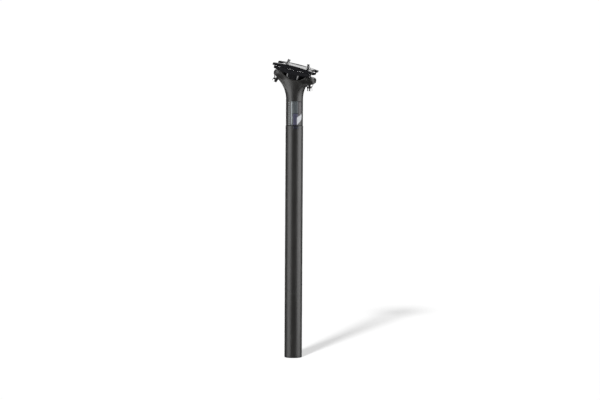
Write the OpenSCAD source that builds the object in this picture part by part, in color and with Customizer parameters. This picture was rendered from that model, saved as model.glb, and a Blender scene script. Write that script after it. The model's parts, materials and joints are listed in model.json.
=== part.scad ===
// Flexing bicycle seatpost with a two-bolt saddle clamp.
// Origin: centre of the bottom rim. +Z runs up the tube, +X is the front of the bicycle.

/* [Tube] */
// Outside diameter of the tube that goes into the frame
tube_d = 27.2; // [25.4:0.1:31.6]
// Wall thickness of the tube
tube_wall = 3; // [2:0.5:4]
// Height above the bottom rim at which the tube bends
flex_z = 157; // [130:1:200]
// Height at which the tube ends and the head's neck starts
neck_z = 361; // [340:1:375]
// Outside diameter of the neck
neck_d = 26.4; // [25:0.1:27]

/* [Head] */
// Height at which the clamp's centre line crosses the tube axis
head_z = 434.1; // [425:0.1:445]
// Forward lean of the clamp's centre line, in degrees
head_tilt = 13; // [8:0.5:18]
// Radius of the cradle in which the saddle angle is set
cradle_r = 24; // [23:0.5:26]
// Lowest point of the cradle, below the crossing point
cradle_drop = 1.7; // [1:0.1:3]
// Reach of each arm from the clamp's centre line
arm_reach = 33.5; // [32:0.1:35]
// Width of the arms
arm_w = 27; // [26.8:0.1:27.4]

/* [Rail clamp] */
// Diameter of a saddle rail
rail_d = 7; // [7:0.1:7.4]
// Distance between the two saddle rails
rail_spacing = 43; // [42:0.5:45]
// Height of the rails above the crossing point
rail_h = 14.6; // [13:0.1:16]
// Length of the upper clamp along the rails
clamp_l = 63.5; // [60:0.5:68]
// Distance of the rail clamp's middle from the clamp's centre line, towards the front
clamp_shift = -2.2; // [-3:0.1:0]

/* [Bolts] */
// Outside diameter of the bolt's thread
bolt_d = 4.9; // [4.5:0.1:5]
// Length of a bolt from the end of its head to its tip
bolt_l = 41.6; // [40:0.1:44]
// Lean of the front bolt from the clamp's centre line, in degrees
front_lean = 16; // [15:0.5:20]
// Lean of the rear bolt from the clamp's centre line, in degrees
rear_lean = 23; // [20:0.5:25]
// Distance of the front bolt's tip from the clamp's centre line
front_tip_x = 16; // [15:0.1:17]
// Distance of the rear bolt's tip from the clamp's centre line
rear_tip_x = 14; // [13:0.1:15]
// Height of a bolt tip above the crossing point
tip_h = 26.3; // [25:0.1:28]

/* [Hidden] */
$fn = 96;

eps = 0.01;
tube_r = tube_d / 2;
bore_r = tube_r - tube_wall;
neck_r = neck_d / 2;
flex_ball_r = 16;
flex_gap = 0.3;
spigot_l = 28;

fit = 0.05;
rail_r = rail_d / 2;
rail_y = rail_spacing / 2;
split_gap = 0.2;
cradle_h = cradle_r - cradle_drop;
arm_top = 7.5;
arm_nose_r = 5;
arm_root_x = 18;
arm_root_h = -8;
flare_r = 45;
flare_z = 401.5;

wing_in = 14.2;
wing_out = 26;
wing_belly_r = 130;
wing_belly_h = 7;
lower_l = 58;
boat_half = 17.5;
boat_top = 8.6;
boat_w = 25;
slot_w = 7.4;
slot_x = 14;
hump_r = 5.5;
crown_r = 256;
bridge_top = 19.4;
bridge_l = 46;

bolt_r = bolt_d / 2;
bolt_head_r = 3.9;
bolt_head_h = 5;
hex_across = 4;
washer_r = 5.2;
washer_ball_r = 6.6;
washer_ball_w = 4.6;
washer_cone_h = 2.5;
seat_r = 6.3;
seat_top_w = 11;
seat_bottom_w = 8.7;
arm_bore_r = 4;
nut_r = 4;
nut_l = 14;
nut_bore_r = 3;
nut_wall = 0.8;

// Each bolt's lean, tip, foot and the distance from its foot to the barrel nut.
function lean(side) = side > 0 ? -front_lean : rear_lean;
function tip_x(side) = side > 0 ? front_tip_x : -rear_tip_x;
function foot_x(side) = tip_x(side) - bolt_l * sin(lean(side));
function foot_h(side) = tip_h - bolt_l * cos(lean(side));
function nut_w(side) = (rail_h - foot_h(side)) / cos(lean(side));

// Places its children in the head's own frame, where x runs along the rails to the front.
module head_frame() {
    translate([0, 0, head_z]) rotate([0, head_tilt, 0]) children();
}

// Places its children on a bolt's axis, with z = 0 at the end of the bolt head.
module bolt_frame(side) {
    head_frame() translate([foot_x(side), 0, foot_h(side)]) rotate([0, lean(side), 0]) children();
}

// A bar across the clamp with the given radius and length.
module cross_bar(r, l) {
    rotate([90, 0, 0]) cylinder(r = r, h = l, center = true);
}

// A bar along a rail with the given radius and length.
module rail_bar(side, r, l) {
    translate([clamp_shift, side * rail_y, rail_h]) rotate([0, 90, 0]) cylinder(r = r, h = l, center = true);
}

module tube(r, z0, z1) {
    translate([0, 0, z0]) cylinder(r = r, h = z1 - z0);
}

// The part of the tube that the frame grips, with a spherical cup at its top.
module lower_shaft() {
    color("#2e2e2e") difference() {
        tube(tube_r, 0, flex_z);
        tube(bore_r, -eps, flex_z + eps);
        translate([0, 0, flex_z]) sphere(r = flex_ball_r);
    }
}

// The part of the tube that swings back as the post flexes.
module upper_shaft() {
    bottom = flex_z - flex_ball_r;
    color("#303030") difference() {
        intersection() {
            tube(tube_r, bottom, neck_z);
            union() {
                translate([0, 0, flex_z]) sphere(r = flex_ball_r - flex_gap);
                tube(tube_r + 1, flex_z, neck_z);
            }
        }
        tube(bore_r, bottom - eps, neck_z + eps);
    }
}

// Side outline of both arms in the head's own frame: each tapers to a round nose.
module arms_outline() {
    nose_x = arm_reach - arm_nose_r;
    nose_h = arm_top - arm_nose_r;
    hull() {
        for (s = [-1, 1]) translate([s * nose_x, nose_h]) circle(r = arm_nose_r, $fn = 48);
        translate([-arm_root_x, arm_root_h]) square([2 * arm_root_x, arm_top - arm_root_h]);
    }
}

// Round neck and flare: a concave curve runs out from the neck, cut off inside the arms and at their width.
module neck() {
    top = head_z + 10;
    outer_r = 26;
    flare_w = arm_w - 0.1;
    intersection() {
        rotate_extrude() difference() {
            union() {
                translate([0, neck_z]) square([neck_r, flare_z - neck_z]);
                translate([0, flare_z]) square([outer_r, top - flare_z]);
            }
            translate([neck_r + flare_r, flare_z]) circle(r = flare_r);
        }
        translate([-50, -flare_w / 2, neck_z - 10]) cube([100, flare_w, 120]);
        head_frame() translate([-50, -50, -100]) cube(100);
    }
}

// Neck, flared arms and cradle, all one moulding, with a spigot glued inside the tube.
module head() {
    color("#282828") difference() {
        union() {
            neck();
            tube(bore_r - fit, neck_z - spigot_l, neck_z + 5);
            head_frame() intersection() {
                rotate([90, 0, 0]) linear_extrude(arm_w, center = true) arms_outline();
                translate([0, 0, -50]) linear_extrude(80) arms_plan();
            }
        }
        head_frame() {
            translate([0, 0, cradle_h]) cross_bar(cradle_r, arm_w + 2);
            translate([-50, -50, arm_top]) cube([100, 100, 60]);
        }
        for (s = [-1, 1]) {
            bolt_frame(s) {
                cylinder(r = seat_r, h = seat_top_w);
                cylinder(r = arm_bore_r, h = 40);
            }
        }
    }
}

// The arms seen from above: rounded at both noses.
module arms_plan() {
    corner_r = 11;
    hull() for (sx = [-1, 1], sy = [-1, 1]) {
        translate([sx * (arm_reach - corner_r), sy * (arm_w / 2 - corner_r)]) circle(r = corner_r, $fn = 48);
    }
}

// Both rails lie in this clamp, whose boat-shaped belly turns in the cradle.
module lower_clamp() {
    deck = rail_h - split_gap / 2;
    color("#161618") head_frame() difference() {
        union() {
            intersection() {
                translate([0, 0, cradle_h]) cross_bar(cradle_r - fit, boat_w);
                union() {
                    translate([-boat_half, -boat_w / 2, -10]) cube([2 * boat_half, boat_w, boat_top + 10]);
                    translate([-slot_x, -boat_w / 2, -10]) cube([2 * slot_x, boat_w, deck + 10]);
                }
            }
            translate([-slot_x, -wing_out, boat_top]) cube([2 * slot_x, 2 * wing_out, deck - boat_top]);
            for (s = [-1, 1]) wing(s, deck);
        }
        for (s = [-1, 1]) {
            rail_bar(s, rail_r, lower_l + 2);
            translate([s * (slot_x + 10), 0, 0]) cube([20, slot_w, 60], center = true);
        }
    }
}

// One side of the lower clamp: a long wing with a curved underside.
module wing(side, deck) {
    y0 = side > 0 ? wing_in : -wing_out;
    intersection() {
        translate([clamp_shift - lower_l / 2, y0, 5]) cube([lower_l, wing_out - wing_in, deck - 5]);
        translate([clamp_shift, 0, wing_belly_r + wing_belly_h]) cross_bar(wing_belly_r, 2 * wing_out + 2);
    }
}

// The upper clamp: two ridges over the rails and a bridge for the barrel nuts, all under one long crown.
module upper_clamp() {
    deck = rail_h + split_gap / 2;
    bridge_x = (front_tip_x - rear_tip_x) / 2 - bridge_l / 2;
    color("#1c1c20") difference() {
        union() {
            head_frame() intersection() {
                union() {
                    for (s = [-1, 1]) ridge(s, deck);
                    translate([bridge_x, -rail_y, deck]) cube([bridge_l, rail_spacing, bridge_top - deck]);
                }
                translate([clamp_shift, 0, rail_h + hump_r - crown_r]) cross_bar(crown_r, 80);
            }
            for (s = [-1, 1]) nut_place(s) cross_bar(nut_r + nut_wall, nut_l + 4);
        }
        head_frame() for (s = [-1, 1]) rail_bar(s, rail_r, clamp_l + 2);
        for (s = [-1, 1]) {
            nut_place(s) cross_bar(nut_r + fit, nut_l);
            bolt_frame(s) translate([0, 0, nut_w(s) - 14]) bolt_slot();
        }
    }
}

// One side of the upper clamp: half a tube over a rail.
module ridge(side, deck) {
    intersection() {
        rail_bar(side, hump_r, clamp_l);
        translate([clamp_shift - clamp_l / 2, -40, deck]) cube([clamp_l, 80, 20]);
    }
}

// A slot along the rails that lets a bolt swing inside the upper clamp.
module bolt_slot() {
    slot_r = bolt_r + 0.5;
    slot_swing = 1.3;
    for (d = [-1, 1]) translate([d * slot_swing, 0, 0]) cylinder(r = slot_r, h = 30);
    translate([-slot_swing, -slot_r, 0]) cube([2 * slot_swing, 2 * slot_r, 30]);
}

// Places its children at the centre of a barrel nut.
module nut_place(side) {
    bolt_frame(side) translate([0, 0, nut_w(side)]) children();
}

module barrel_nut(side) {
    color("silver") nut_place(side) difference() {
        cross_bar(nut_r, nut_l - 0.4);
        cylinder(r = nut_bore_r, h = 3 * nut_r, center = true);
    }
}

// A ring let into the arm, with a hollow spherical face for the washer.
module washer_seat(side) {
    color("#8c8c8c") bolt_frame(side) difference() {
        translate([0, 0, seat_bottom_w]) cylinder(r = seat_r, h = seat_top_w - seat_bottom_w);
        translate([0, 0, washer_ball_w]) sphere(r = washer_ball_r + fit);
        cylinder(r = arm_bore_r, h = 20);
    }
}

// A washer with a domed upper face, which lets the bolt swing as the clamp turns.
module washer(side) {
    color("silver") bolt_frame(side) difference() {
        union() {
            translate([0, 0, bolt_head_h]) cylinder(r1 = bolt_head_r, r2 = washer_r, h = washer_cone_h);
            intersection() {
                translate([0, 0, washer_ball_w]) sphere(r = washer_ball_r);
                translate([0, 0, bolt_head_h + washer_cone_h]) cylinder(r = washer_r, h = 10);
            }
        }
        cylinder(r = bolt_r + fit, h = 20);
    }
}

// A socket-head bolt, turned from below the arm.
module bolt(side) {
    color("silver") bolt_frame(side) difference() {
        union() {
            cylinder(r = bolt_head_r, h = bolt_head_h - fit);
            cylinder(r = bolt_r, h = bolt_l);
        }
        translate([0, 0, -eps]) cylinder(r = hex_across / sqrt(3), h = 2.8, $fn = 6);
    }
}

lower_shaft();
upper_shaft();
head();
lower_clamp();
upper_clamp();
washer_seat(1);  // front_washer_seat
washer_seat(-1);  // rear_washer_seat
washer(1);  // front_washer
washer(-1);  // rear_washer
bolt(1);  // front_bolt
bolt(-1);  // rear_bolt
barrel_nut(1);  // front_barrel_nut
barrel_nut(-1);  // rear_barrel_nut
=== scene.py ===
"""Looks of the flexing bicycle seatpost: camera, light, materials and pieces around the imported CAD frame."""

import json
import math

import bmesh
import bpy
from mathutils import Matrix, Vector


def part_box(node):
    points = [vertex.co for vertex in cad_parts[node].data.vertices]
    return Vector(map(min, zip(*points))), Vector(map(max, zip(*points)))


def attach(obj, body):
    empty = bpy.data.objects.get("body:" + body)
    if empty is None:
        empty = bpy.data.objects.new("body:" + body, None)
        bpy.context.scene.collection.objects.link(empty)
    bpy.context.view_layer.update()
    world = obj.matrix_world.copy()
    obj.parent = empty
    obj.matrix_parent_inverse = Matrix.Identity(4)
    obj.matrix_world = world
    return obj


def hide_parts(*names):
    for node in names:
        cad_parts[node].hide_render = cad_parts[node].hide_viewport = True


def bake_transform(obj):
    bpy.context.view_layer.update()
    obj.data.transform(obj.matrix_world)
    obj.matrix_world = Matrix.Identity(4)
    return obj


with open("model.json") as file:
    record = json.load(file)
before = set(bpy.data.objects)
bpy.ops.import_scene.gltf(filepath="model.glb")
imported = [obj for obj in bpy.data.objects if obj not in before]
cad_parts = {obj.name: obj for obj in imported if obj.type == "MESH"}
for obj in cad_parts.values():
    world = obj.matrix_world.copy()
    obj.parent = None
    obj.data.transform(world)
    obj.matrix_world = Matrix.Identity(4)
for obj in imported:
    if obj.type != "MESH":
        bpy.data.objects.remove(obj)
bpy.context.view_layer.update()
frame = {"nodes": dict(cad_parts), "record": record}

MM = 0.001

# Sizes of the real object, in metres
TUBE_R = 13.6 * MM
TUBE_BORE_R = 10.6 * MM
TUBE_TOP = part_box("upper_shaft")[1].z
NECK_R = 13.2 * MM
RING_Z = 105 * MM
FLARE_R = 45 * MM
FLARE_Z = 401.5 * MM
FLARE_LEAST = 0.66
ARM_HALF_W = 13.5 * MM
BELLY_TOP = 8.5 * MM
BELLY_HALF_W = 12.5 * MM
BELLY_WIDE = 13.2 * MM
BELLY_FLAT_FRONT = 5 * MM
BELLY_FLAT_REAR = 10.5 * MM
BELLY_SLOPE = 1.0
HEAD_ORIGIN = Vector((0, 0, 434.1 * MM))
HEAD_TILT = math.radians(13)
BOLT_R = 2.45 * MM
BOLT_L = 41.6 * MM
BOLT_HEAD_R = 3.9 * MM
BOLT_HEAD_H = 4.95 * MM
HEX_ACROSS = 4 * MM
THREAD_PITCH = 0.8 * MM
THREAD_DEPTH = 0.36 * MM
TIP_H = 26.3 * MM
BOLTS = {
    "front": {"tip_x": 16 * MM, "lean": math.radians(-16)},
    "rear": {"tip_x": -14 * MM, "lean": math.radians(23)},
}
RAIL_H = 14.6 * MM
WASHER_R = 5.2 * MM
WASHER_TOP = 7.5 * MM
BALL_R = 6.6 * MM
BALL_W = 4.6 * MM
SEAT_R = 6.3 * MM
SEAT_BORE_R = 4 * MM
SEAT_PLAY = 0.1 * MM
SEAT_LOW = 8.7 * MM
SEAT_TOP = 11 * MM
NUT_R = 4 * MM
NUT_L = 13.6 * MM

# The studio
CAMERA_AZIMUTH = math.radians(11)
CAMERA_ELEVATION = math.radians(5.5)
CAMERA_ROLL = math.radians(0.33)
CAMERA_DISTANCE = 6.0
FRAME_WIDTH = 0.9326
CENTRE_RIGHT = 0.0108
CENTRE_UP = 0.2440
SKY_SEEN = 1.02
ROOM_LIGHT = 0.03
FLOOR_RADIUS = 1.15
FLOOR_GLOW = 0.655
KEY_STRENGTH = 2.3
KEY_TURN = -17.5
KEY_RISE = math.radians(36)
KEY_SPREAD = math.radians(5.5)
STRIP_LOW = -0.25
STRIP_HIGH = 1.1
STRIP_DISTANCE = 1.3
BACK_POWER = 0.85
BACK_HEIGHT = 0.72

HEAD = Matrix.Translation(HEAD_ORIGIN) @ Matrix.Rotation(HEAD_TILT, 4, "Y")


def bolt_matrix(side):
    """The frame of one bolt: z runs up its axis from the end of its head."""
    b = BOLTS[side]
    foot_x = b["tip_x"] - BOLT_L * math.sin(b["lean"])
    foot_h = TIP_H - BOLT_L * math.cos(b["lean"])
    return HEAD @ Matrix.Translation((foot_x, 0, foot_h)) @ Matrix.Rotation(b["lean"], 4, "Y")


def nut_height(side):
    """Distance of a barrel nut's middle from the end of its bolt's head."""
    return BOLT_L - (TIP_H - RAIL_H) / math.cos(BOLTS[side]["lean"])


# ---------------------------------------------------------------- camera, floor and light


def add_camera():
    az, el, roll = CAMERA_AZIMUTH, CAMERA_ELEVATION, CAMERA_ROLL
    to_camera = Vector((math.cos(el) * math.sin(az), -math.cos(el) * math.cos(az), math.sin(el)))
    level_right = Vector((math.cos(az), math.sin(az), 0))
    level_up = to_camera.cross(level_right)
    right = level_right * math.cos(roll) + level_up * math.sin(roll)
    up = level_up * math.cos(roll) - level_right * math.sin(roll)
    target = right * CENTRE_RIGHT + up * CENTRE_UP
    data = bpy.data.cameras.new("photo_camera")
    data.sensor_width = 36
    data.lens = data.sensor_width * CAMERA_DISTANCE / FRAME_WIDTH
    data.clip_end = 60
    cam = bpy.data.objects.new("photo_camera", data)
    turn = Matrix((right, up, to_camera)).transposed().to_4x4()
    cam.matrix_world = Matrix.Translation(target + to_camera * CAMERA_DISTANCE) @ turn
    bpy.context.scene.collection.objects.link(cam)
    bpy.context.scene.camera = cam


def add_world():
    """White where the camera looks past the floor, and a dim room everywhere else."""
    world = bpy.data.worlds.new("white_studio")
    bpy.context.scene.world = world
    world.use_nodes = True
    nodes, links = world.node_tree.nodes, world.node_tree.links
    seen = nodes["Background"]
    seen.inputs["Color"].default_value = (1, 1, 1, 1)
    seen.inputs["Strength"].default_value = SKY_SEEN
    room = nodes.new("ShaderNodeBackground")
    room.inputs["Color"].default_value = (1, 1, 1, 1)
    room.inputs["Strength"].default_value = ROOM_LIGHT
    path = nodes.new("ShaderNodeLightPath")
    mix = nodes.new("ShaderNodeMixShader")
    links.new(path.outputs["Is Camera Ray"], mix.inputs["Fac"])
    links.new(room.outputs["Background"], mix.inputs[1])
    links.new(seen.outputs["Background"], mix.inputs[2])
    links.new(mix.outputs["Shader"], nodes["World Output"].inputs["Surface"])


def add_floor():
    bm = bmesh.new()
    bmesh.ops.create_circle(bm, cap_ends=True, radius=FLOOR_RADIUS, segments=96)
    mesh = bpy.data.meshes.new("floor")
    bm.to_mesh(mesh)
    bm.free()
    floor = bpy.data.objects.new("floor", mesh)
    bpy.context.scene.collection.objects.link(floor)
    mat = bpy.data.materials.new("floor_white")
    mat.use_nodes = True
    bsdf = mat.node_tree.nodes["Principled BSDF"]
    bsdf.inputs["Base Color"].default_value = (0.8, 0.8, 0.8, 1)
    bsdf.inputs["Roughness"].default_value = 0.9
    bsdf.inputs["Specular IOR Level"].default_value = 0.1
    bsdf.inputs["Emission Color"].default_value = (1, 1, 1, 1)
    bsdf.inputs["Emission Strength"].default_value = FLOOR_GLOW
    floor.data.materials.append(mat)
    floor.visible_diffuse = False
    floor.visible_glossy = False
    return floor


def studio_point(turn, distance, height):
    """A place in the studio, turned by so many degrees to the camera's right."""
    a = CAMERA_AZIMUTH + math.radians(turn)
    return Vector((math.sin(a), -math.cos(a), 0)) * distance + Vector((0, 0, height))


def add_key():
    """The far, slightly soft light that casts the shadow."""
    data = bpy.data.lights.new("key", "SUN")
    data.energy = KEY_STRENGTH
    data.angle = KEY_SPREAD
    lamp = bpy.data.objects.new("key", data)
    place = studio_point(KEY_TURN, 1, math.tan(KEY_RISE))
    lamp.matrix_world = (-place).to_track_quat("-Z", "Y").to_matrix().to_4x4()
    lamp.visible_glossy = False
    bpy.context.scene.collection.objects.link(lamp)


def add_panel(name, place, aim, size, power, lit, blockers=None):
    """A rectangular lamp that faces aim, unseen by the camera, and that lights only what lit says."""
    data = bpy.data.lights.new(name, "AREA")
    data.shape = "RECTANGLE"
    data.size, data.size_y = size
    data.energy = power
    lamp = bpy.data.objects.new(name, data)
    turn = (aim - place).to_track_quat("-Z", "Y").to_matrix().to_4x4()
    lamp.matrix_world = Matrix.Translation(place) @ turn
    lamp.visible_camera = False
    lamp.light_linking.receiver_collection = lit
    if blockers:
        lamp.light_linking.blocker_collection = blockers
    bpy.context.scene.collection.objects.link(lamp)


def add_strip(name, turn, power, width, lit):
    """A tall soft box beside the object. What it doesn't light doesn't shade it either."""
    middle = (STRIP_LOW + STRIP_HIGH) / 2
    place = studio_point(turn, STRIP_DISTANCE, middle)
    add_panel(name, place, Vector((0, 0, middle)), (width, STRIP_HIGH - STRIP_LOW), power, lit, lit)


def add_back_panel(lit):
    """The bright backdrop that the glossy clamp mirrors at a grazing angle."""
    place = studio_point(176, 1.6, BACK_HEIGHT)
    add_panel("back_panel", place, Vector((0, 0, 0.45)), (1.2, 0.22), BACK_POWER, lit)


def left_out(*objs):
    """A collection that a light can take as the things it doesn't light."""
    group = bpy.data.collections.new("not_lit_by_strips")
    for obj in objs:
        group.objects.link(obj)
    for entry in group.collection_objects:
        entry.light_linking.link_state = "EXCLUDE"
    return group


add_camera()
add_world()
floor = add_floor()
add_key()
not_lit = left_out(floor)
add_strip("left_strip", -62, 20, 1.2, not_lit)
add_strip("right_strip", 76, 25, 1.4, not_lit)
bpy.context.scene.view_settings.view_transform = "Standard"

# ---------------------------------------------------------------- materials


class Surface:
    """A node material built up from procedural layers on one Principled shader."""

    def __init__(self, name, colour, roughness, metallic=0.0, coat=0.0, coat_roughness=0.1):
        self.mat = bpy.data.materials.new(name)
        self.mat.use_nodes = True
        self.nodes, self.links = self.mat.node_tree.nodes, self.mat.node_tree.links
        self.shader = self.nodes["Principled BSDF"]
        self.set("Base Color", (*colour, 1))
        self.set("Roughness", roughness)
        self.set("Metallic", metallic)
        self.set("Coat Weight", coat)
        self.set("Coat Roughness", coat_roughness)
        self.colour, self.roughness = colour, roughness
        self.place = self.nodes.new("ShaderNodeTexCoord").outputs["Object"]

    def set(self, socket, value):
        self.shader.inputs[socket].default_value = value

    def noise(self, size, detail=3, stretch=(1, 1, 1)):
        """Noise whose patches are about size metres across, squeezed along each axis by stretch."""
        mapping = self.nodes.new("ShaderNodeMapping")
        mapping.inputs["Scale"].default_value = stretch
        self.links.new(self.place, mapping.inputs["Vector"])
        noise = self.nodes.new("ShaderNodeTexNoise")
        noise.inputs["Scale"].default_value = 1 / size
        noise.inputs["Detail"].default_value = detail
        self.links.new(mapping.outputs["Vector"], noise.inputs["Vector"])
        return noise.outputs["Fac"]

    def ranged(self, value, low_in, high_in, low, high):
        """value, from low_in to high_in, moved to low to high and held there."""
        node = self.nodes.new("ShaderNodeMapRange")
        for name, number in (("From Min", low_in), ("From Max", high_in), ("To Min", low), ("To Max", high)):
            node.inputs[name].default_value = number
        self.links.new(value, node.inputs["Value"])
        return node.outputs["Result"]

    def multiplied(self, a, b):
        node = self.nodes.new("ShaderNodeMath")
        node.operation = "MULTIPLY"
        self.links.new(a, node.inputs[0])
        self.links.new(b, node.inputs[1])
        return node.outputs["Value"]

    def mixed(self, share, low, high):
        """A colour between low and high. Each is a colour or another colour's output."""
        node = self.nodes.new("ShaderNodeMix")
        node.data_type = "RGBA"
        self.links.new(share, node.inputs["Factor"])
        for socket, value in ((node.inputs[6], low), (node.inputs[7], high)):
            if isinstance(value, bpy.types.NodeSocket):
                self.links.new(value, socket)
            else:
                socket.default_value = (*value, 1)
        return node.outputs[2]

    def cloud(self, size, spread, rough_spread, stretch=(1, 1, 1)):
        """Slow changes of shade and of roughness over the surface."""
        patch = self.noise(size, 4, stretch)
        dark = [c * (1 - spread) for c in self.colour]
        light = [min(1, c * (1 + spread)) for c in self.colour]
        self.tint = self.mixed(self.ranged(patch, 0.3, 0.7, 0, 1), dark, light)
        self.links.new(self.tint, self.shader.inputs["Base Color"])
        rough = self.ranged(patch, 0.3, 0.7, self.roughness - rough_spread, self.roughness + rough_spread)
        self.links.new(rough, self.shader.inputs["Roughness"])
        return self

    def grain(self, size, depth, strength, stretch=(1, 1, 1), coated=False):
        """Fine relief."""
        bump = self.nodes.new("ShaderNodeBump")
        bump.inputs["Strength"].default_value = strength
        bump.inputs["Distance"].default_value = depth
        self.links.new(self.noise(size, 5, stretch), bump.inputs["Height"])
        self.links.new(bump.outputs["Normal"], self.shader.inputs["Normal"])
        if coated:
            self.links.new(bump.outputs["Normal"], self.shader.inputs["Coat Normal"])
        return self

    def worn_edges(self, colour, start, full, share):
        """Rubbed edges: colour shows through, broken up, where the surface turns sharply outwards."""
        sharp = self.nodes.new("ShaderNodeNewGeometry").outputs["Pointiness"]
        edge = self.ranged(sharp, start, full, 0, share)
        broken = self.ranged(self.noise(0.9 * MM, 6), 0.42, 0.62, 0, 1)
        worn = self.mixed(self.multiplied(edge, broken), self.tint, colour)
        self.links.new(worn, self.shader.inputs["Base Color"])
        return self


def materials():
    made = {}
    shaft = Surface("shaft_matte_black", (0.016, 0.0155, 0.0148), 0.4)
    shaft.cloud(14 * MM, 0.12, 0.04, (1, 1, 0.35)).grain(0.35 * MM, 0.02 * MM, 0.35)
    made["shaft_black"] = shaft.worn_edges((0.05, 0.05, 0.05), 0.56, 0.7, 0.5).mat

    head = Surface("head_matte_black", (0.016, 0.0155, 0.0148), 0.42)
    head.cloud(9 * MM, 0.14, 0.05).grain(0.35 * MM, 0.02 * MM, 0.35)
    made["head_black"] = head.worn_edges((0.06, 0.058, 0.055), 0.55, 0.66, 0.5).mat

    clamp = Surface("clamp_gloss_black", (0.008, 0.008, 0.0095), 0.2, 0, 0.6, 0.08)
    clamp.cloud(5 * MM, 0.15, 0.05).grain(0.5 * MM, 0.015 * MM, 0.3, coated=True)
    made["clamp_black"] = clamp.worn_edges((0.16, 0.16, 0.165), 0.55, 0.65, 0.55).mat

    bolt = Surface("bolt_satin_steel", (0.4, 0.4, 0.4), 0.26, 1)
    bolt.cloud(2.5 * MM, 0.1, 0.07).grain(0.5 * MM, 0.008 * MM, 0.4, (1, 1, 6))
    made["bolt_steel"] = bolt.worn_edges((0.6, 0.6, 0.6), 0.55, 0.65, 0.5).mat

    seat = Surface("seat_grey_steel", (0.3, 0.3, 0.3), 0.34, 1)
    seat.cloud(2 * MM, 0.12, 0.08).grain(0.4 * MM, 0.01 * MM, 0.4, (1, 1, 6))
    made["seat_steel"] = seat.worn_edges((0.5, 0.5, 0.5), 0.55, 0.65, 0.5).mat

    nut = Surface("nut_grey_steel", (0.3, 0.3, 0.31), 0.33, 1)
    nut.cloud(2.5 * MM, 0.12, 0.08).grain(0.4 * MM, 0.01 * MM, 0.4, (1, 6, 1))
    made["nut_steel"] = nut.worn_edges((0.5, 0.5, 0.5), 0.55, 0.65, 0.5).mat
    return made


def print_and_highlight_finish(name, colour, roughness=0.45):
    """A thin coloured layer on the paint: print, and in one place a painted highlight tint."""
    print_and_highlight = Surface(name, colour, roughness)
    print_and_highlight.cloud(3 * MM, 0.1, 0.05).grain(0.3 * MM, 0.01 * MM, 0.3)
    return print_and_highlight.mat


MATERIALS = materials()
for sub in frame["record"]["subparts"]:
    cad_obj = frame["nodes"][sub["node"]]
    cad_obj.data.materials.clear()
    cad_obj.data.materials.append(MATERIALS[sub["material_slot"]])

# ---------------------------------------------------------------- mesh helpers


def rounded(corners, steps=4):
    """An outline of (x, y, radius) corners, each turned into a curve that starts radius away from it."""
    out = []
    for i, (x, y, radius) in enumerate(corners):
        here = Vector((x, y))
        if not radius:
            out.append(here)
            continue
        before = (Vector(corners[i - 1][:2]) - here).normalized() * radius
        after = (Vector(corners[(i + 1) % len(corners)][:2]) - here).normalized() * radius
        for k in range(steps + 1):
            t = k / steps
            out.append(here + before * (1 - t) ** 2 + after * t * t)
    return out


def divided(points, step):
    """A closed outline with more points, none more than step apart."""
    out = []
    for a, b in zip(points, points[1:] + points[:1]):
        parts = max(1, math.ceil((b - a).length / step))
        out += [a.lerp(b, k / parts) for k in range(parts)]
    return out


def arc(centre_z, radius, r_from, r_to, steps=10):
    """Points on a ball round the axis, from one distance off the axis to another."""
    out = []
    for k in range(steps + 1):
        r = r_from + (r_to - r_from) * k / steps
        out.append(Vector((r, centre_z + math.sqrt(radius ** 2 - r ** 2))))
    return out


def new_piece(name, bm, slot, body=None, matrix=None, replaces=()):
    """Makes the mesh into a smooth piece with its slot's material, in place and on its body."""
    bmesh.ops.remove_doubles(bm, verts=bm.verts, dist=0.001 * MM)
    bmesh.ops.recalc_face_normals(bm, faces=bm.faces)
    if matrix is not None:
        bm.transform(matrix)
    mesh = bpy.data.meshes.new(name)
    bm.to_mesh(mesh)
    bm.free()
    mesh.shade_smooth()
    mesh.materials.append(MATERIALS[slot])
    obj = bpy.data.objects.new(name, mesh)
    bpy.context.scene.collection.objects.link(obj)
    if body:
        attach(obj, body)
    if replaces:
        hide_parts(*replaces)
    return obj


def turned(rings, closed, segments=96):
    """A turned form. Each ring is (radius, height), and a radius may be a function of the angle."""
    bm = bmesh.new()
    loops = []
    for radius, z in rings:
        loop = []
        for k in range(segments):
            a = 2 * math.pi * k / segments
            r = radius(a) if callable(radius) else radius
            loop.append(bm.verts.new((r * math.cos(a), r * math.sin(a), z)))
        loops.append(loop)
    pairs = list(zip(loops, loops[1:] + loops[:1]))
    for low, high in pairs if closed else pairs[:-1]:
        for k in range(segments):
            m = (k + 1) % segments
            bm.faces.new((low[k], low[m], high[m], high[k]))
    return bm


# ---------------------------------------------------------------- tube and head


def add_tube():
    """The one-piece tube, made as one mesh on no body; the real tube bends between the ring and the neck."""
    outline = rounded([
        (TUBE_BORE_R, 0, 0.4 * MM),
        (TUBE_R, 0, 0.9 * MM),
        (TUBE_R, TUBE_TOP, 0.35 * MM),
        (TUBE_BORE_R, TUBE_TOP, 0),
    ])
    bm = turned([tuple(p) for p in divided(outline, 3 * MM)], True, 128)
    tube = new_piece("shaft_tube", bm, "shaft_black", replaces=("lower_shaft", "upper_shaft"))
    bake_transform(tube)


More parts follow.
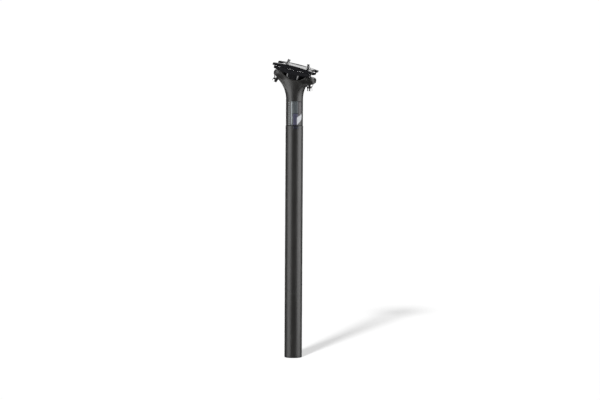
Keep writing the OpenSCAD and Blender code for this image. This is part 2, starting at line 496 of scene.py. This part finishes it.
def soft_copy(name, node, slot, body, voxel, rounds, floor_z=None, shaping=None):
    """A CAD node again in even, fine faces with its edges rubbed round. Anything below floor_z is left off.

    shaping, if given, moves each point of the fine mesh to where it returns, in the head's own frame.
    """
    bm = bmesh.new()
    bm.from_mesh(frame["nodes"][node].data)
    bmesh.ops.remove_doubles(bm, verts=bm.verts, dist=0.001 * MM)
    if floor_z is not None:
        cut = bmesh.ops.bisect_plane(
            bm, geom=bm.verts[:] + bm.edges[:] + bm.faces[:],
            plane_co=(0, 0, floor_z), plane_no=(0, 0, -1), clear_outer=True,
        )
        rim = [e for e in cut["geom_cut"] if isinstance(e, bmesh.types.BMEdge)]
        bmesh.ops.holes_fill(bm, edges=rim)
    obj = new_piece(name, bm, slot, matrix=HEAD.inverted())
    remesh = obj.modifiers.new("even_faces", "REMESH")
    remesh.mode = "VOXEL"
    remesh.voxel_size = voxel
    remesh.use_smooth_shade = True
    soften = obj.modifiers.new("soft_edges", "SMOOTH")
    soften.factor = 0.5
    soften.iterations = rounds
    graph = bpy.context.evaluated_depsgraph_get()
    mesh = bpy.data.meshes.new_from_object(obj.evaluated_get(graph))
    obj.modifiers.clear()
    obj.data = mesh
    if shaping:
        for v in mesh.vertices:
            v.co = shaping(v.co)
    mesh.transform(HEAD)
    mesh.update()
    mesh.materials.clear()
    mesh.materials.append(MATERIALS[slot])
    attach(obj, body)
    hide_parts(node)
    return obj


def drawn_in(y, core, side, share):
    """y with everything outside core drawn in, so that a side at a distance of side goes to share of it."""
    beyond = abs(y) - core
    if beyond <= 0:
        return y
    return math.copysign(core + beyond * (side * share - core) / (side - core), y)


def smooth_step(value, low, high):
    t = min(1, max(0, (value - low) / (high - low)))
    return t * t * (3 - 2 * t)


def oval_flare(p):
    """The flare's flat sides made oval across, fading out towards the top of the arms."""
    world = HEAD @ p
    rise = min(FLARE_R - MM, max(0, world.z - FLARE_Z))
    reach = NECK_R + FLARE_R - math.sqrt(FLARE_R ** 2 - rise ** 2)
    oval = math.sqrt(max(0, 1 - (world.x / reach) ** 2))
    share = max(ARM_HALF_W / max(reach, ARM_HALF_W), oval, FLARE_LEAST)
    share = 1 - (1 - share) * (1 - smooth_step(p.z, -6 * MM, 5 * MM))
    return Vector((p.x, drawn_in(p.y, SEAT_R + MM, ARM_HALF_W, share), p.z))


def pointed_belly(p):
    """The belly of the lower clamp with both ends drawn in, the front one from nearer the middle."""
    if p.z > BELLY_TOP or abs(p.y) > BELLY_HALF_W + 0.1 * MM:
        return p
    past = p.x - BELLY_FLAT_FRONT if p.x > 0 else -p.x - BELLY_FLAT_REAR
    ramp = (past + math.hypot(past, MM)) / 2
    share = max(0.35, (BELLY_WIDE - ramp * BELLY_SLOPE) / BELLY_HALF_W)
    return Vector((p.x, drawn_in(p.y, 4.2 * MM, BELLY_HALF_W, share), p.z))


add_tube()
soft_copy(
    "head_moulding", "head", "head_black", "flexing_post", 0.55 * MM, 12,
    floor_z=TUBE_TOP - 0.5 * MM, shaping=oval_flare,
)
soft_copy("lower_clamp_forging", "lower_clamp", "clamp_black", "cradle", 0.4 * MM, 6, shaping=pointed_belly)
upper_clamp = soft_copy("upper_clamp_forging", "upper_clamp", "clamp_black", "jaw", 0.38 * MM, 5)
mirrors = bpy.data.collections.new("lit_by_back_panel")
mirrors.objects.link(upper_clamp)
add_back_panel(mirrors)
add_strip("back_strip", 184, 14, 0.7, left_out(floor, upper_clamp))

# ---------------------------------------------------------------- bolts, washers and nuts


def hex_radius(across):
    """The outline of a hexagon, as a distance for each angle."""
    third = math.pi / 3
    return lambda a: across / 2 / math.cos((a % third) - third / 2)


def thread_radius(z, full):
    """The outline of the thread at one height, where full goes from 0, plain, to 1."""
    def radius(a):
        turn = (z / THREAD_PITCH - a / (2 * math.pi)) % 1
        return BOLT_R - THREAD_DEPTH * full * min(1, max(0, 1.25 * abs(2 * turn - 1) - 0.15))
    return radius


def add_bolt(side):
    """A socket-head bolt with a rolled thread. Its shank is plain as far as the top of the washer seat."""
    hexagon = hex_radius(HEX_ACROSS)
    mouth = hex_radius(HEX_ACROSS + 0.5 * MM)
    edge = 0.45 * MM
    rings = [(0, 3.1 * MM), (1.7 * MM, 2.85 * MM), (hexagon, 2.8 * MM), (hexagon, 0.2 * MM), (mouth, 0)]
    rings += [
        (BOLT_HEAD_R - edge, 0), (BOLT_HEAD_R - 0.3 * edge, 0.1 * edge), (BOLT_HEAD_R, 0.6 * edge),
        (BOLT_HEAD_R, BOLT_HEAD_H - 0.3 * MM), (BOLT_HEAD_R - 0.3 * MM, BOLT_HEAD_H),
        (BOLT_R + 0.2 * MM, BOLT_HEAD_H), (BOLT_R, BOLT_HEAD_H + 0.2 * MM), (BOLT_R, SEAT_TOP),
    ]
    chamfer = 0.7 * MM
    step = THREAD_PITCH / 8
    count = int((BOLT_L - chamfer - SEAT_TOP) / step)
    for k in range(1, count + 1):
        z = SEAT_TOP + k * step
        rings.append((thread_radius(z, min(1, k / 8)), z))
    rings += [(BOLT_R - 0.55 * chamfer, BOLT_L - 0.25 * chamfer), (BOLT_R - chamfer, BOLT_L), (0, BOLT_L)]
    bm = turned(rings, False, 48)
    new_piece(f"{side}_bolt_threaded", bm, "bolt_steel", f"{side}_bolt", bolt_matrix(side), (f"{side}_bolt",))


def add_washer(side):
    """A cone below and a dome above, with broken edges."""
    bore = BOLT_R + 0.05 * MM
    dome = arc(BALL_W, BALL_R, WASHER_R - 0.15 * MM, bore)
    cone = rounded([
        (bore, dome[-1].y, 0),
        (bore, BOLT_HEAD_H + 0.05 * MM, 0),
        (BOLT_HEAD_R, BOLT_HEAD_H + 0.05 * MM, 0.25 * MM),
        (WASHER_R, WASHER_TOP, 0.3 * MM),
        (WASHER_R, dome[0].y, 0.15 * MM),
        (dome[1].x, dome[1].y, 0),
    ])
    bm = turned([tuple(p) for p in cone[1:-1] + dome[1:]], True, 72)
    name = f"{side}_washer"
    new_piece(f"{name}_domed", bm, "bolt_steel", name, bolt_matrix(side), (name,))


def add_seat(side):
    """The ring let into the arm, hollow below for the washer's dome."""
    hollow = BALL_R + SEAT_PLAY
    lip = math.sqrt(hollow ** 2 - (SEAT_LOW - BALL_W) ** 2)
    cup = arc(BALL_W, hollow, SEAT_BORE_R, lip)
    ring = rounded([
        (lip, SEAT_LOW, 0),
        (SEAT_R - 0.02 * MM, SEAT_LOW, 0.25 * MM),
        (SEAT_R - 0.02 * MM, SEAT_TOP, 0),
        (SEAT_BORE_R, SEAT_TOP, 0),
    ])
    bm = turned([tuple(p) for p in ring + cup[:-1]], True, 72)
    name = f"{side}_washer_seat"
    new_piece(f"{name}_ring", bm, "seat_steel", "flexing_post", bolt_matrix(side), (name,))


def add_nut(side):
    """A barrel nut: a short bar across the clamp, bored for the bolt."""
    half = NUT_L / 2
    bar = rounded([(0, -half, 0), (NUT_R, -half, 0.5 * MM), (NUT_R, half, 0.5 * MM), (0, half, 0)])
    bm = turned([tuple(p) for p in bar], False, 72)
    bm.transform(Matrix.Rotation(math.pi / 2, 4, "X"))
    place = bolt_matrix(side) @ Matrix.Translation((0, 0, nut_height(side)))
    node = f"{side}_barrel_nut"
    nut = new_piece(f"{node}_bored", bm, "nut_steel")
    bore = bmesh.new()
    bmesh.ops.create_cone(
        bore, cap_ends=True, segments=48, radius1=3 * MM, radius2=3 * MM, depth=3 * NUT_R,
    )
    drill = new_piece(f"{side}_drill", bore, "nut_steel")
    cut = nut.modifiers.new("bore", "BOOLEAN")
    cut.operation = "DIFFERENCE"
    cut.object = drill
    graph = bpy.context.evaluated_depsgraph_get()
    mesh = bpy.data.meshes.new_from_object(nut.evaluated_get(graph))
    nut.modifiers.clear()
    nut.data = mesh
    mesh.transform(place)
    bpy.data.objects.remove(drill)
    smooth_by_angle(mesh)
    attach(nut, f"{side}_nut")
    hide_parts(node)


def smooth_by_angle(mesh, angle=math.radians(35)):
    """Smooth faces with crisp edges where two of them meet at more than the angle."""
    bm = bmesh.new()
    bm.from_mesh(mesh)
    for e in bm.edges:
        e.smooth = len(e.link_faces) == 2 and e.calc_face_angle() < angle
    for f in bm.faces:
        f.smooth = True
    bm.to_mesh(mesh)
    bm.free()


for bolt_side in BOLTS:
    add_bolt(bolt_side)
    add_washer(bolt_side)
    add_seat(bolt_side)
    add_nut(bolt_side)

# ---------------------------------------------------------------- printed marks and a painted highlight patch


def add_mark(name, material, corners, radius, body, slot, lift=0.05 * MM, steps=10):
    """A thin patch on a round surface: a print, and in one place a painted highlight tint. Each corner is
    (degrees to the camera's right, height).
    """
    bm = bmesh.new()
    (al, zl), (ar, zr), (br, yr), (bl, yl) = corners
    rise_steps = 12
    shells = []
    for r in (radius + lift, radius - lift):
        grid = []
        for i in range(rise_steps + 1):
            v = i / rise_steps
            row = []
            for k in range(steps + 1):
                u = k / steps
                low = Vector((al, zl)).lerp(Vector((ar, zr)), u)
                high = Vector((bl, yl)).lerp(Vector((br, yr)), u)
                p = low.lerp(high, v)
                a = CAMERA_AZIMUTH + math.radians(p.x) - math.pi / 2
                row.append(bm.verts.new((r * math.cos(a), r * math.sin(a), p.y)))
            grid.append(row)
        shells.append(grid)
    for grid in shells:
        for i in range(rise_steps):
            for k in range(steps):
                bm.faces.new((grid[i][k], grid[i][k + 1], grid[i + 1][k + 1], grid[i + 1][k]))
    top, under = [
        g[0] + [r[-1] for r in g[1:-1]] + g[-1][::-1] + [r[0] for r in g[-2:0:-1]] for g in shells
    ]
    for k in range(len(top)):
        m = (k + 1) % len(top)
        bm.faces.new((top[k], top[m], under[m], under[k]))
    obj = new_piece(name, bm, slot, body)
    obj.data.materials.clear()
    obj.data.materials.append(material)
    return obj


def box_mark(name, material, left, right, low, high, radius=NECK_R, body="flexing_post", slot="head_black"):
    corners = [(left, low), (right, low), (right, high), (left, high)]
    return add_mark(name, material, corners, radius, body, slot)


def add_neck_print_and_highlight():
    pale = print_and_highlight_finish("print_pale_grey", (0.21, 0.23, 0.24))
    flash = print_and_highlight_finish("print_flash_grey", (0.4, 0.41, 0.43))
    dust = print_and_highlight_finish("print_dust_grey", (0.12, 0.13, 0.13))
    slate = print_and_highlight_finish("print_slate", (0.055, 0.063, 0.068))
    violet = print_and_highlight_finish("print_violet_grey", (0.045, 0.045, 0.075))
    navy = print_and_highlight_finish("print_navy", (0.008, 0.009, 0.018))
    # The next colour is painted highlight: a violet-grey lighter than the paint, for where the right-hand
    # highlight falls on the neck.
    highlight_tint = print_and_highlight_finish("painted_highlight_violet", (0.03, 0.026, 0.03))
    low, high, middle = 362.2 * MM, 399 * MM, 380 * MM
    box_mark("print_line", pale, -24, -14, low, high)
    box_mark("print_block_upper", slate, -10, 25, middle, high)
    box_mark("print_block_lower", violet, -10, 25, low, middle)
    box_mark("print_foot", navy, -8, 30, 356.5 * MM, TUBE_TOP - 0.5 * MM, TUBE_R)
    # Painted highlight: a lighter violet-grey patch on the neck's right side, over the place where the
    # right-hand highlight falls.
    add_mark("painted_highlight_patch", highlight_tint, [(27, 372 * MM), (57, 382 * MM), (57, high), (27, high)],
             NECK_R, "flexing_post", "head_black")
    add_mark("print_flash", flash, [(17, 362.3 * MM), (56, 371 * MM), (56, 380 * MM), (17, 374 * MM)],
             NECK_R + 0.03 * MM, "flexing_post", "head_black")
    dash, gap = 1.9 * MM, 0.9 * MM
    count = int((high - low) / (dash + gap))
    for k in range(count):
        z = low + k * (dash + gap)
        box_mark(f"print_dash_{k + 1}", dust, -45, -33, z, z + dash)


def add_depth_ring():
    grey = print_and_highlight_finish("ring_grey", (0.035, 0.036, 0.037))
    ring_h = 0.5 * MM
    bm = turned([
        (TUBE_R - 0.05 * MM, RING_Z - ring_h), (TUBE_R + 0.05 * MM, RING_Z - ring_h),
        (TUBE_R + 0.05 * MM, RING_Z), (TUBE_R - 0.05 * MM, RING_Z),
    ], True, 128)
    ring = new_piece("depth_ring", bm, "shaft_black", "post")
    ring.data.materials.clear()
    ring.data.materials.append(grey)
    for k in range(-2, 3):
        box_mark(f"depth_tick_{k + 3}", grey, 10 * k - 1, 10 * k + 1, 99.5 * MM, 102.5 * MM,
                 TUBE_R, "post", "shaft_black")


add_neck_print_and_highlight()
add_depth_ring()
